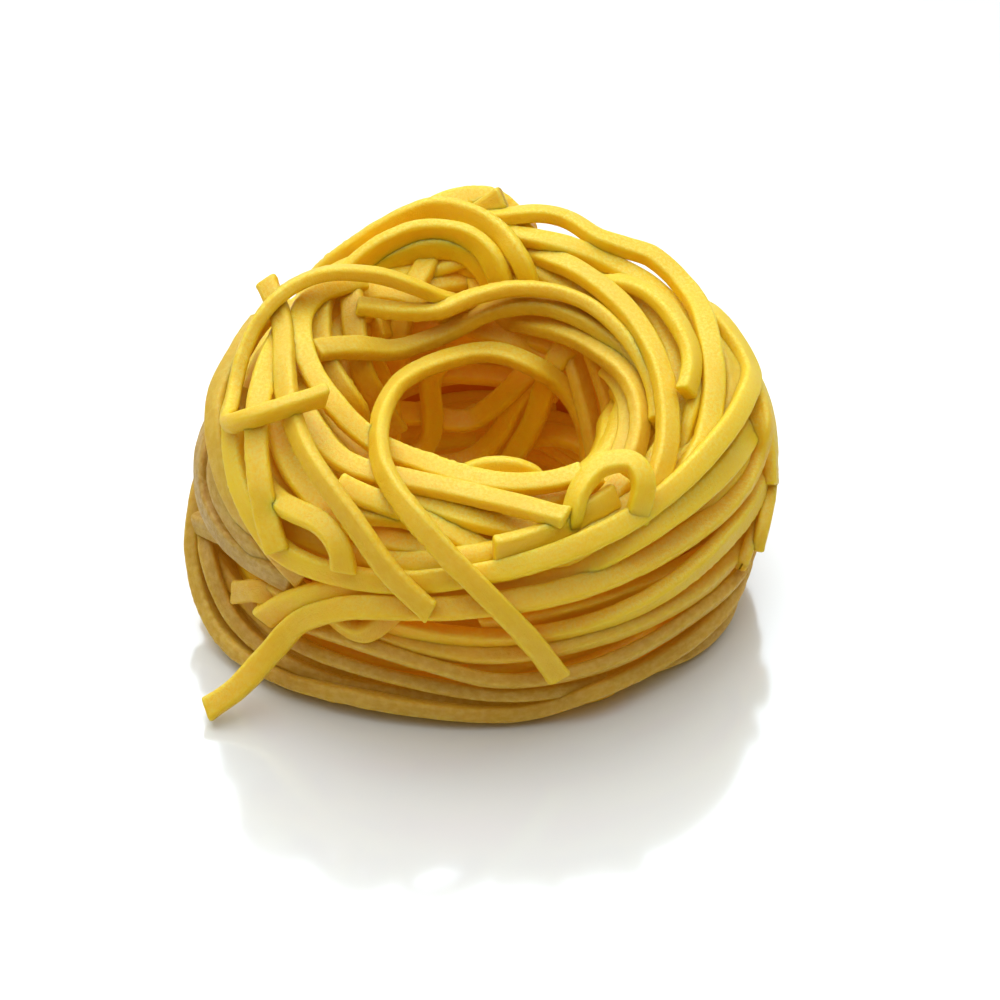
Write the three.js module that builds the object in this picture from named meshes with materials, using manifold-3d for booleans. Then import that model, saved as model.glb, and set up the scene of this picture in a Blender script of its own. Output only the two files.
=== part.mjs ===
// Dry pasta nest: a coil of flat egg noodles, wound by hand and dried in the shape of a bird's nest.
//
// Millimetres, +Z up. The origin is at the middle of the footprint, on the surface the nest rests on.
// -Y is the low, open side of the nest, and +Y is the high side.
//
// The nest is one solid: a plain bowl-shaped core, hidden inside, with the noodles that show fused
// onto it. The hollow in the middle stays open at the top.

import * as THREE from 'three';
import { mergeVertices } from 'three/addons/utils/BufferGeometryUtils.js';
import Module from 'manifold-3d';

// ---------------------------------------------------------------- driving dimensions

const NOODLE_WIDTH = 2.6;
const NOODLE_THICKNESS = 1.8;
const NOODLE_STEP = 6.4;          // length of one straight piece of a bent noodle
const TURN_STEP = 8.6;            // the same on the wide turns of the outside
const END_FLARE = 1.12;          // a cut end is pressed a little wider than the noodle
const WIDTH_SPREAD = 0.12;       // how far noodles differ in width, as a share of it

const RING_RADIUS = 21.5;        // axis of the nest to the middle of the coil
const RING_HEIGHT = 15;          // height of the middle of the coil
const DEGREE_LENGTH = RING_RADIUS * Math.PI / 180;

const CORE_OUTER_RADIUS = 28;
const CORE_WELL_RADIUS = 15;
const CORE_TOP = 26.5;           // on average: the high side stands above it, the low side below it
const CORE_FLOOR = 2.6;          // thickness of the floor under the hollow
const CORE_TILT = 4.2;           // rise of the high side over the average
const CORE_BREADTH = 1.05;       // breadth over depth: a nest is a little longer than it is deep
const CORE_SETBACK = 1.2;        // how far the core lies behind the origin
const CORE_SEGMENTS = 30;

const SHIFT_X = 0.01;            // puts the middle of the footprint on the origin
const SHIFT_Y = -0.16;
const UNDERSIDE_DEPTH = 5;       // reach of the cutter that trims the underside flat
const FOOTPRINT = 110;           // side of that cutter

// ---------------------------------------------------------------- the noodles that show

// Each noodle is a smooth run through a few stations: [azimuth in degrees, distance from the axis
// of the nest, height]. Azimuth is 0 at +X and 90 at the high side.

// Wound right round the outside, from the top of the wall down to the base.
const OUTER_TURNS = [
  [[-168, 28.5, 25.7], [-150, 30.4, 22], [-136, 30.8, 19.3], [-118, 29.7, 19.1], [-90, 27.6, 20.7],
    [-58, 27.3, 23.5], [-26, 28, 25.8], [-4, 29.7, 25.9], [10, 31, 24.8], [30, 29.5, 27],
    [50, 28.5, 29], [90, 26.8, 29], [140, 27, 26.4], [172, 29, 24.4]],
  [[-140, 31.8, 9], [-133, 31.2, 13], [-121, 30, 17], [-103, 28.6, 18.1], [-77, 27.9, 19.4],
    [-41, 28.7, 22.7], [-14, 30.2, 23.3], [6, 31.8, 22.8], [25, 31, 24], [50, 30.5, 25], [95, 29, 25.5],
    [145, 29.5, 24], [178, 31, 20]],
  [[-138, 41.4, 1.5], [-136, 38, 3.6], [-134, 34.2, 7], [-130, 31.8, 11.2], [-124, 31.1, 13.9],
    [-116, 30.3, 15.8], [-90, 28.2, 16.8], [-70, 27.9, 17.4], [-40, 29.2, 18.9], [-10, 30.9, 18.8],
    [8, 32.1, 19.6], [60, 31, 21], [120, 30, 20], [165, 31, 19]],
  [[-127, 28.6, 13.6], [-108, 28.5, 13], [-85, 28, 12], [-56, 29.6, 13.5], [-28, 30.9, 15.7],
    [-6, 31.9, 15.6], [15, 32, 17], [60, 31, 16.5], [120, 30.5, 16.5], [175, 32, 15]],
  [[-143, 29.3, 10.9], [-115, 29.1, 11.4], [-88, 28.3, 9.8], [-63, 29.1, 10.6], [-39, 30.2, 11.1],
    [-18, 31.2, 11.2], [-4, 31.6, 10.4], [15, 31.5, 12], [70, 31, 12.5], [130, 31, 12], [180, 32, 14]],
  [[-140, 29.4, 8.4], [-119, 29.4, 9.9], [-102, 28.8, 8.5], [-86, 28.7, 6.5], [-63, 29.2, 6.7],
    [-39, 30.1, 7.9], [-19, 30.6, 6.8], [0, 31, 7.2], [20, 31, 8.4], [70, 31, 8.5], [125, 31, 8],
    [170, 32, 10]],
  [[-82, 25.6, 1.2], [-70, 25.3, 1.2], [-58, 25.4, 1.2], [-45, 27.2, 1.2], [-33, 28.8, 1.2],
    [-21, 29.4, 1.6], [-12, 29.2, 3], [-2, 29, 4.4], [20, 29.5, 5], [70, 30, 4.5], [120, 30.5, 4.5],
    [160, 32, 6]],
  [[-142, 28.4, 4.4], [-126, 29, 5.7], [-112, 28, 5.1], [-100, 27.2, 4.2], [-80, 27.4, 3.3],
    [-60, 27.6, 3.4]],
  [[172, 30.6, 17.5], [183, 32.6, 11.6], [190, 33.5, 7.6], [200, 33.2, 3.2], [209, 32.4, 1.4],
    [223, 30.9, 1.1], [242, 28.9, 1.6], [261, 27.8, 1.3], [279, 27.8, 1.1], [295, 27.9, 1.9],
    [313, 28, 3]],
  [[-178, 31.5, 10], [-169, 31.8, 7], [-161, 31.6, 5], [-155, 31.2, 3.6], [-147, 30.4, 2.6],
    [-128, 28.7, 2.2], [-114, 27.4, 2.4], [-100, 26.7, 2.3], [-84, 26.2, 2.2], [-66, 26, 2.2]],
  [[-172, 31, 14], [-162, 31, 10.6], [-158, 30.6, 7.9], [-153, 30.2, 5.6], [-147, 29.8, 4],
    [-135, 28.8, 3.7], [-120, 27.8, 4.2]],
  [[170, 30.5, 12], [182, 31.6, 7], [194, 32, 3], [207, 31.2, 1.2], [228, 29.4, 1]],
];

// Over the upper rim and down the high side of the hollow.
const RIM_TURNS = [
  [[86, 25, 28], [79, 21.5, 30.5], [68, 18.8, 32], [54, 17.7, 32.5], [40, 17.7, 32], [9, 18.9, 30.5],
    [-17, 21.6, 28.9], [-36, 25, 26.8], [-43, 26.1, 24.9]],
  [[44, 19.1, 30.9], [38, 20.2, 31.8], [28, 21.4, 32.1], [14, 22.6, 31.5], [0, 23.6, 30.5],
    [-15, 23.6, 29.6]],
  [[110, 25.5, 31], [88, 25.2, 33], [68, 25, 33], [55, 23.4, 33.2], [38, 24.6, 33], [27, 26.1, 31.5],
    [10, 26, 30.1], [-11, 26.4, 28.2], [-28, 27.3, 26.2], [-40, 26.1, 23]],
  [[100, 26, 29.5], [76, 23.8, 31.5], [62, 21.4, 32.6], [44, 21.5, 32.3], [27, 23.8, 30.5],
    [7, 24.6, 28.7], [-14, 24.4, 26.9], [-23, 24.6, 25.7]],
  [[135, 30, 22], [131, 29.4, 25.5], [128, 28.3, 27.6], [124, 27.2, 29.4], [117, 26.4, 31.4],
    [109, 25.6, 33.2], [103, 25.2, 34], [95, 23.2, 34.3], [88, 20.9, 34.2], [83, 19, 34],
    [78, 17.1, 33.5], [73, 15.9, 32.4], [69, 15.4, 30], [66, 15.6, 27]],
  [[136, 24, 27], [128, 23.6, 30], [118, 23, 32], [109, 22.4, 33], [101, 21.2, 33.3], [93, 19.1, 33.2],
    [87, 17, 32.3], [83, 16, 30.4], [79, 15.8, 27]],
  [[108, 25, 33], [98, 24.8, 35], [87, 24.7, 35], [80, 23.6, 33]],
  [[104, 23.6, 30.5], [96, 23.6, 32.4], [84, 23.9, 36]],
  [[101, 21.5, 29.5], [90, 21.5, 31.6], [74, 21.5, 34.5]],
  [[147, 17, 30.8], [135, 13.7, 29.8], [115, 12.2, 28.9], [92, 12.2, 30.2], [70, 13.1, 31.1],
    [42, 15.1, 31], [14, 17.3, 29.3], [-10, 20, 27.4], [-21, 21.2, 26.3]],
  [[181, 18.8, 31.3], [167, 14.6, 29.2], [148, 12.5, 26.5], [130, 12, 25.4], [108, 11.9, 25.8],
    [84, 12.7, 27.8], [62, 13.8, 28.8], [31, 15.7, 28.3], [1, 18.6, 27.1], [-12, 19.8, 25.9]],
  [[83, 16.6, 24], [74, 15, 25], [62, 14, 25.8], [50, 13.8, 26.4], [24, 14.8, 26.7], [-10, 17.8, 26.7],
    [-35, 20.8, 25.8], [-45, 22.1, 24.7]],
];

// Hanging over the left side, with their cut ends free.
const LEFT_SIDE = [
  [[90, 13.2, 27.8], [112, 12.2, 30.5], [128, 13, 32.9], [141, 16.2, 34.5], [155, 21.1, 35],
    [167, 24.7, 33.2], [177, 26.8, 30.2], [187, 28.2, 27.2], [197, 29.4, 27.6], [204, 28.8, 30],
    [209, 25, 32], [211, 20.1, 32.5]],
  [[160, 26, 34.5], [168, 23.4, 33], [175, 22.4, 31.9], [190, 22.4, 31.5], [209, 24, 30.6],
    [231, 27.4, 29], [241, 29, 26.5], [252, 30.6, 21.4], [260, 31.3, 17.9]],
  [[153, 24.2, 30.6], [169, 23.7, 31.5], [188, 24.8, 32], [203, 27.1, 30.6], [215, 30, 27.2],
    [222, 31.4, 22], [225, 31.8, 19.8]],
  [[-150, 28.3, 23.8], [-139, 29.4, 24.3], [-126, 29.8, 25], [-121, 30.4, 23.6], [-119, 31.1, 20.7]],
  [[162, 26.3, 29.7], [175, 27.2, 29.8], [187, 29.9, 27.3], [199, 30.9, 23.4], [209, 30.5, 19.2],
    [213, 29.5, 16.1], [220, 28.5, 13]],
  [[-174, 27.7, 27.2], [-162, 28.9, 26.3], [-149, 30.5, 23], [-144, 30.9, 21.3], [-138, 30.2, 18],
    [-133, 29, 15]],
  [[178, 30, 22], [188, 31.8, 19.9], [194, 32.3, 16.8], [206, 31.7, 15], [225, 29.7, 14.4]],
  [[-170, 29.6, 22.6], [-161, 31.3, 20.2], [-151, 31.1, 17.8], [-141, 29.5, 14.8], [-134, 28.6, 12.6]],
  [[-174, 31.8, 7.5], [-158, 29.6, 5.4], [-139, 28.3, 4]],
  [[-171, 32.8, 10.8], [-158, 30, 13.2]],
  [[-151, 31.6, 8.6], [-142, 31.1, 11.7], [-131, 29.1, 12.1]],
  [[-127, 29.3, 13.2], [-121, 30.2, 12.5], [-116, 30.1, 12.1], [-109, 27.9, 15.2]],
];

// Along the low side: the lip of the hollow and the short pieces that lie in it.
const LOW_SIDE = [
  [[33, 15.2, 8.5], [35, 15.2, 12.3], [35, 14.2, 15.8], [39, 13.4, 18.4], [44, 11.9, 21],
    [51, 10.2, 23.2], [63, 9.4, 24.2], [78, 9, 24.6], [91, 8.9, 24.6], [115, 8.9, 25], [140, 8.6, 25.8],
    [173, 9.3, 26.8], [203, 12.1, 27.8], [219, 15.6, 28.3], [231, 18.7, 28.4], [243, 23, 28.6],
    [255, 27, 27], [264, 29.2, 23.6], [272, 30.4, 19.4], [280, 31.1, 13.8], [286, 31.1, 8]],
  [[126, 23.9, 27.5], [135, 22.8, 29], [148, 22.1, 30.8], [161, 21.5, 31.6], [173, 20.6, 31.6],
    [190, 19.3, 30.6], [206, 18.3, 29.6], [229, 17.7, 28], [250, 16.9, 26.8], [264, 17.7, 26.5],
    [278, 19.3, 26.7], [291, 20.8, 27.2], [301, 21.7, 27.8]],
  [[-174, 21, 28.3], [-152, 21.4, 28], [-133, 21.9, 27.3], [-110, 20.4, 26.9], [-95, 20.7, 26.6],
    [-80, 23.2, 26.6], [-69, 26.3, 26.2]],
  [[-71, 25.8, 22], [-67, 25, 24.6], [-62, 23.2, 27], [-54, 22.4, 28.4], [-47, 24.2, 28.6],
    [-47, 26.1, 27.1], [-50, 26.5, 22.5]],
  [[-46, 22.6, 25.4], [-60, 24.5, 24.1], [-72, 25.4, 22]],
  [[-41, 25.6, 24.5], [-60, 26, 23.9], [-81, 25.7, 21]],
  [[-87, 26, 22.9], [-74, 25, 23.4], [-62, 23.6, 23.8], [-50, 23, 24]],
  [[-100, 17.4, 25.4], [-94, 17.3, 26.7], [-87, 17.3, 27.4], [-79, 17.5, 27.2], [-72, 17.8, 26],
    [-69, 18.2, 24]],
  [[-116, 20.8, 25.5], [-95, 22.2, 24.4], [-76, 23.7, 22.8], [-69, 24.9, 21.4]],
  [[-126, 26.3, 24.9], [-110, 23.9, 24.6], [-101, 23.5, 23.4], [-83, 24.8, 20.1]],
  [[-121, 26.3, 22.4], [-103, 24.9, 21.5], [-82, 24.9, 18.8]],
  [[-161, 24.1, 28.3], [-144, 26, 26], [-130, 26.6, 24.3], [-121, 25.6, 22.9]],
];

// Hanging over the right side.
const RIGHT_SIDE = [
  [[16, 31.3, 27.8], [8, 32.2, 24], [1, 32.8, 19.5], [-3, 33.1, 13.5]],
  [[0, 32.8, 18.7], [-5, 32.8, 13.5], [-12, 32, 7.9]],
  [[-7, 31.7, 10.2], [-16, 30.7, 6.9]],
  [[25, 27.8, 27.2], [9, 28.5, 26.3], [-7, 28.5, 25.2], [-16, 27.5, 24.5]],
  [[-1, 31.8, 13.2], [-17, 29.4, 11.5], [-32, 28.5, 13], [-50, 27.8, 14], [-67, 26.9, 13.8],
    [-80, 26.4, 13.2], [-90, 26.2, 12.8]],
];

// Lining the hollow.
const HOLLOW_LINING = [
  [[102, 23.2, 31.3], [110, 18.6, 31], [119, 16.6, 29.1], [125, 15.7, 26.7], [129, 15.2, 23.6],
    [131, 15, 19]],
  [[146, 20.8, 30.1], [128, 17, 29.8], [109, 14.4, 26.9], [90, 14.3, 23.9], [72, 14.7, 22.6],
    [55, 15.5, 21]],
  [[140, 16, 27], [126, 15.9, 24.9], [100, 15.1, 23], [73, 15.2, 22.8], [54, 15.5, 22.3],
    [38, 15.1, 20.3], [22, 15.5, 16]],
  [[131, 22.1, 31.8], [146, 17.6, 31.2], [158, 15.4, 28.3], [163, 14.1, 25.2], [154, 13.2, 19.9],
    [138, 13.4, 13.4]],
  [[138, 23.2, 31.9], [160, 19.6, 30.9], [178, 17.4, 28.8], [188, 14.8, 25.3], [176, 13.6, 20],
    [157, 13.2, 15.8]],
  [[105, 13.6, 21.6], [112, 13.2, 20.5], [117, 12.9, 19.1], [118, 12.8, 17.2], [117, 12.8, 14.8],
    [117, 12.8, 12.4], [119, 12.9, 10.1], [126, 13.1, 8.5], [135, 13.6, 7.8]],
  [[150, 17, 27], [146, 14.4, 22], [144, 13.4, 18], [146, 13, 14], [154, 13.4, 10], [165, 14.5, 7]],
  [[140, 14, 16], [128, 13.4, 14.6], [118, 13, 13.9], [109, 12.8, 12.6], [96, 12.8, 12.2],
    [86, 12.8, 13.9], [78, 12.8, 15.9], [70, 13, 18.3], [62, 14, 20.5], [54, 15.6, 22]],
  [[134, 13.6, 9], [121, 12.8, 7], [108, 12.6, 6.2], [98, 12.5, 6.6], [89, 12.4, 8.1], [80, 12.3, 10.9],
    [74, 12.3, 14], [68, 12.6, 16.6], [63, 13.8, 19], [58, 15.4, 21]],
  [[92, 13, 1.8], [81, 12.4, 3.8], [74, 12.2, 7.1], [66, 12, 10.6], [59, 12.2, 14.6], [56, 12.8, 18],
    [54, 14, 20.8], [52, 15.8, 23]],
  [[62, 17, 24.5], [55, 15.6, 24.6], [46, 14.9, 23], [41, 14.7, 20.9], [36, 14.5, 18.6],
    [29, 14.2, 16.1], [22, 14, 13.7], [15, 14, 11.5], [8, 14, 8]],
  [[38, 15.5, 28], [31, 14.9, 25.8], [26, 15.3, 23], [20, 15.6, 20.5], [14, 15.5, 18], [5, 15, 15],
    [-4, 14.8, 11]],
  [[21, 15.2, 25], [-11, 17, 25], [-27, 18.2, 24.8], [-42, 19.8, 24.3], [-57, 22.4, 23.6],
    [-65, 24, 23]],
];

// ---------------------------------------------------------------- one noodle

// A fixed sequence of numbers from 0 to 1, so that every build is the same.
function createRandom(seed) {
  let state = seed;
  return () => {
    state = (state * 16807) % 2147483647;
    return state / 2147483647;
  };
}

// The middle line of a noodle, as points about pieceLength apart.
function routePoints(stations, pieceLength) {
  // The spline runs in azimuth, radius and height, so that a turn stays round between its stations.
  const polar = stations.map(([azimuth, radius, height]) =>
    new THREE.Vector3(azimuth * DEGREE_LENGTH, radius, height));
  const spline = new THREE.CatmullRomCurve3(polar, false, 'centripetal');
  const steps = Math.max(2, Math.round(spline.getLength() / pieceLength));
  return spline.getSpacedPoints(steps).map((point) => {
    const angle = point.x / RING_RADIUS;
    return new THREE.Vector3(point.y * Math.cos(angle), point.y * Math.sin(angle), point.z);
  });
}

// Which way the flat of a noodle faces: away from the middle of the coil.
function flatNormal(point, tangent) {
  const ringMiddle = new THREE.Vector3(point.x, point.y, 0).setLength(RING_RADIUS);
  ringMiddle.z = RING_HEIGHT;
  const outward = new THREE.Vector3().subVectors(point, ringMiddle);
  return outward.addScaledVector(tangent, -outward.dot(tangent)).normalize();
}

// A noodle is a box bent along its route: its length is cut into steps, and each step of the box
// moves to a point of the route.
function createNoodle(stations, pieceLength, width) {
  const points = routePoints(stations, pieceLength);
  const steps = points.length - 1;
  const geometry = new THREE.BoxGeometry(width, NOODLE_THICKNESS, steps, 1, 1, steps);
  const position = geometry.getAttribute('position');
  const corner = new THREE.Vector3();
  for (let i = 0; i < position.count; i += 1) {
    corner.fromBufferAttribute(position, i);
    const step = Math.round(corner.z + steps / 2);
    const before = points[Math.max(step - 1, 0)];
    const after = points[Math.min(step + 1, steps)];
    const tangent = new THREE.Vector3().subVectors(after, before).normalize();
    const normal = flatNormal(points[step], tangent);
    const side = new THREE.Vector3().crossVectors(normal, tangent);
    const flare = step === 0 || step === steps ? END_FLARE : 1;
    const bent = points[step].clone()
      .addScaledVector(side, corner.x * flare)
      .addScaledVector(normal, corner.y);
    position.setXYZ(i, bent.x, bent.y, bent.z);
  }
  return geometry;
}

// ---------------------------------------------------------------- the core

// A bowl with rounded lips, turned about the axis and then tilted up towards the high side.
function createCore() {
  const wallMiddle = (CORE_OUTER_RADIUS + CORE_WELL_RADIUS) / 2;
  const halfWall = (CORE_OUTER_RADIUS - CORE_WELL_RADIUS) / 2;
  const lipStart = CORE_TOP - halfWall;
  const profile = [new THREE.Vector2(0, 0), new THREE.Vector2(CORE_OUTER_RADIUS, 0)];
  const lipSteps = 6;
  for (let i = 0; i <= lipSteps; i += 1) {
    const angle = Math.PI * i / lipSteps;
    const radius = wallMiddle + halfWall * Math.cos(angle);
    profile.push(new THREE.Vector2(radius, lipStart + halfWall * Math.sin(angle)));
  }
  profile.push(new THREE.Vector2(CORE_WELL_RADIUS, CORE_FLOOR), new THREE.Vector2(0, CORE_FLOOR));
  const geometry = new THREE.LatheGeometry(profile, CORE_SEGMENTS).rotateX(Math.PI / 2);
  const position = geometry.getAttribute('position');
  for (let i = 0; i < position.count; i += 1) {
    const rise = CORE_TILT * position.getY(i) / CORE_OUTER_RADIUS;
    position.setZ(i, position.getZ(i) * (1 + rise / CORE_TOP));
  }
  return geometry.scale(CORE_BREADTH, 1, 1).translate(0, CORE_SETBACK, 0);
}

// ---------------------------------------------------------------- joining

const wasm = await Module();
wasm.setup();

function toSolid(geometry) {
  geometry.deleteAttribute('normal');
  geometry.deleteAttribute('uv');
  const merged = mergeVertices(geometry);
  return new wasm.Manifold(new wasm.Mesh({
    numProp: 3,
    vertProperties: new Float32Array(merged.getAttribute('position').array),
    triVerts: new Uint32Array(merged.getIndex().array),
  }));
}

function toGeometry(solid) {
  const mesh = solid.getMesh();
  const geometry = new THREE.BufferGeometry();
  geometry.setAttribute('position', new THREE.BufferAttribute(mesh.vertProperties, 3));
  geometry.setIndex(new THREE.BufferAttribute(mesh.triVerts, 1));
  geometry.computeVertexNormals();
  return geometry;
}

// Noodles that cross can shut in small pockets. Each pocket is a skin of its own, so keeping only
// the skin with the largest volume fills them.
function fillPockets(solid) {
  return solid.decompose().reduce((largest, skin) => (skin.volume() > largest.volume() ? skin : largest));
}

function createNestSolid() {
  const random = createRandom(7);
  let nest = toSolid(createCore());
  const addNoodles = (noodles, pieceLength) => {
    for (const stations of noodles) {
      const width = NOODLE_WIDTH * (1 + WIDTH_SPREAD * (2 * random() - 1));
      nest = nest.add(toSolid(createNoodle(stations, pieceLength, width)));
    }
  };
  addNoodles(OUTER_TURNS, TURN_STEP);
  addNoodles([...RIM_TURNS, ...LEFT_SIDE, ...LOW_SIDE, ...RIGHT_SIDE, ...HOLLOW_LINING], NOODLE_STEP);
  const below = new THREE.BoxGeometry(FOOTPRINT, FOOTPRINT, UNDERSIDE_DEPTH);
  below.translate(0, 0, -UNDERSIDE_DEPTH / 2);
  return fillPockets(nest.subtract(toSolid(below)));
}

// ---------------------------------------------------------------- the part

const nest = new THREE.Mesh(
  toGeometry(createNestSolid()),
  new THREE.MeshStandardMaterial({ color: 0xdcb62e, roughness: 0.55, metalness: 0 }),
);
nest.name = 'pasta_nest';
nest.position.set(SHIFT_X, SHIFT_Y, 0);

const part = new THREE.Group();
part.add(nest);

export default part;
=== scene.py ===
import math

import bpy
import numpy as np
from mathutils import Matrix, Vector
from mathutils.kdtree import KDTree


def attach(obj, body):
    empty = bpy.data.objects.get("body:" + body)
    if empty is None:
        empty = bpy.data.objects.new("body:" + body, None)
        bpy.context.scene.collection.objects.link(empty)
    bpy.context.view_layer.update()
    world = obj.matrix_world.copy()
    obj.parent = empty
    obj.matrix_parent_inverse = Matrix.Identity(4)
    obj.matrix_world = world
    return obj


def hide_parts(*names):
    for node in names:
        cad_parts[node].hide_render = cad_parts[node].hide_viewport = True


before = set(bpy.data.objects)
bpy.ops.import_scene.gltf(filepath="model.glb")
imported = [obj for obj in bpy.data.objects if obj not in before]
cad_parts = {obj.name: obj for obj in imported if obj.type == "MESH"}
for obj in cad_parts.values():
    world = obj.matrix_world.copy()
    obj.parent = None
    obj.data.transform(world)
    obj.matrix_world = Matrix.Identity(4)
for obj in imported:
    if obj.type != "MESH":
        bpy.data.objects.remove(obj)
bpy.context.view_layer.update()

MM = 0.001

# -------------------- driving sizes, in millimetres

NOODLE_WIDTH = 2.62
NOODLE_THICKNESS = 1.65
EDGE_RADIUS = 0.5
END_FLARE = 0.12              # a cut end is pressed wider by this share of the width
FLARE_LENGTH = 1.6
END_ROUNDING = 0.34
CUT_SLANT = 0.3               # a cut is out of square by up to this slope
SLANT_LENGTH = 1.2
WIDTH_SPREAD = 0.06           # noodles differ from each other by up to these shares
THICKNESS_SPREAD = 0.07
WIDTH_DRIFT = 0.05            # and each drifts along its length by these
THICKNESS_DRIFT = 0.06
TWIST = math.radians(12)
LUMP_DEPTH = 0.02
RAGGED_FROM = 0.5             # nearer 1 leaves fewer ragged edges
RAGGED_DEPTH = 0.16
GRAIN_SHIFT = 500             # noodles take their pattern from places up to this far apart

# The coil as a ring: its outline at each azimuth is a rounded section between these limits.
RING_OUTER = 30.7             # mean outer radius
RING_OVAL = 1.5               # the ring is longer than it is deep
RING_INNER = 12.4
RING_TOP = 30.0               # mean height
RING_RISE = 4.2               # the high side stands above the mean by this
RING_LEAN = 0.6               # and the right side by this
RING_SQUARENESS = 2.6
TURN_RADIUS = 21.5            # axis of the nest to the middle of the coil
TURN_HEIGHT = 15.0

# What fills the coil out of sight: (how many turns, their depth under the outline, level).
HIDDEN_TURNS = ((30, 3.0, 2), (18, 4.8, 1))
HIGH_SIDE_DEPTH = 2.0         # they lie this much deeper still on the high side
BACK_TURNS = 12
BACK_DEPTH = 1.7
BACK_END_DEPTH = 2.6          # the back turns sink this much more where they end
UNDERSIDE_RADII = (13.5, 16.5, 19.5, 22.5, 25.5)
UNDERSIDE_HEIGHT = 0.95
TURN_POINTS = 60              # points on the route of a hidden turn
BACK_POINTS = 50
FLOOR_POINTS = 26
FLOOR_STRANDS = 9
FLOOR_REACH = 20              # half the length of a strand that crosses the bottom of the hollow
CORE_DEPTH = 6.2              # from the outline of the coil to its closed core
SEED = 11

# Settling.
RELAX_STEP = 1.2              # distance between the points that settle
RELAX_ROUNDS = 90
PAIRING_ROUNDS = 6            # the list of near pairs serves for this many rounds
PAIRING_REACH = 3.4
CLING = 0.9                   # noodles that touch dry stuck together, this much closer
TRACED_YIELD = 0.35           # how far noodles that show give way, against 1 for the hidden ones
MOVE_SHARE = 0.45             # of what is needed to part two noodles, moved in one round
TABLE_GAP = 0.02              # under the noodles that lie on the table
COUNTED_OVERLAP = 0.25        # point pairs that overlap by more are counted in the printed line

# Meshing. The rings of vertices stand closer together near a cut end.
END_RINGS = np.array([0, 0.03, 0.1, 0.2, 0.34])
END_CLEARANCE = 0.5           # where the evenly spaced rings begin
ENDS_LENGTH = 0.8             # left out of the length that sets how many of them there are
FINE_STEP = 0.34
COARSE_STEP = 1.0
FINE_CORNER = 4
COARSE_CORNER = 2
CORE_AROUND = 72
CORE_SECTION = 24

# Where the nest is looked at from. The noodles that show settle only along this view.
VIEW_ELEVATION = math.radians(37.0)
VIEW_DISTANCE = 600.0
VIEW_TARGET = np.array([2.07, 0.0, 10.07])
VIEW_BACK = np.array([0, -math.cos(VIEW_ELEVATION), math.sin(VIEW_ELEVATION)])
VIEWER = VIEW_TARGET + VIEW_DISTANCE * VIEW_BACK
LENS = 187.9

# How light fades in the heap, which sets the painted amber shade and glow: along lines to the sky, through
# cells that pasta partly fills.
CELL = 1.0
SKY_LINES = 6                 # slanting lines, besides the one straight up
SKY_LINE_RISE = math.radians(48)
SKY_LINE_START = 1.6
SKY_LINE_END = 15.0
UPRIGHT_WEIGHT = 2.0          # of the line straight up, against 1 for a slanting one
FADING = 0.55                 # a millimetre of pasta lets through exp(-FADING) of the light
OPEN_LIGHT = 0.52             # the share of the sky's light from which a noodle looks fully lit
LOST_LIGHT = 0.05             # and the share at which it looks fully amber
DEPTH_CURVE = 1.3             # above 1 keeps the amber to the deepest strands
DEEP_GLOW = (0.06, 0.034, 0.001, 1.0)   # light out of the depth of the heap

# The sky that lights the set: brightest in this direction, dark where the cosine is under SKY_EDGE.
SKY_DIRECTION = (-0.1, 0.17, 1.0)
SKY_EDGE = 0.38
SKY_DARK = 0.05
SKY_BRIGHT = 2.08
# A soft box in it, which draws the pale sheen on top of the noodles.
BOX_DIRECTION = (-0.15, 0.75, 1.0)
BOX_EDGE = 0.9                # the cosine at which it starts, and over which it comes to full
BOX_FADE = 0.04
BOX_BRIGHT = 1.7
TABLE_GLOSS = 0.17            # share of the light that the table mirrors
TABLE_SIZE = 6                # metres

# -------------------- the noodles that show

# One noodle a row: (level, tilt, dullness and painted shade, stations).
# A higher level lies on top of a lower one. Tilt is how far the flat side is turned, in degrees, from
# facing the viewer towards the outside of the coil; None lets it lie flat on the coil. Level and tilt
# are one value, or a few evenly spaced along the noodle. Dullness runs from 0, golden, to 1, beige: on
# some strands it is their own duller colour, on the low turns near the table it is painted shade.
# A station is (azimuth in degrees, distance from the axis, height).

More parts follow.
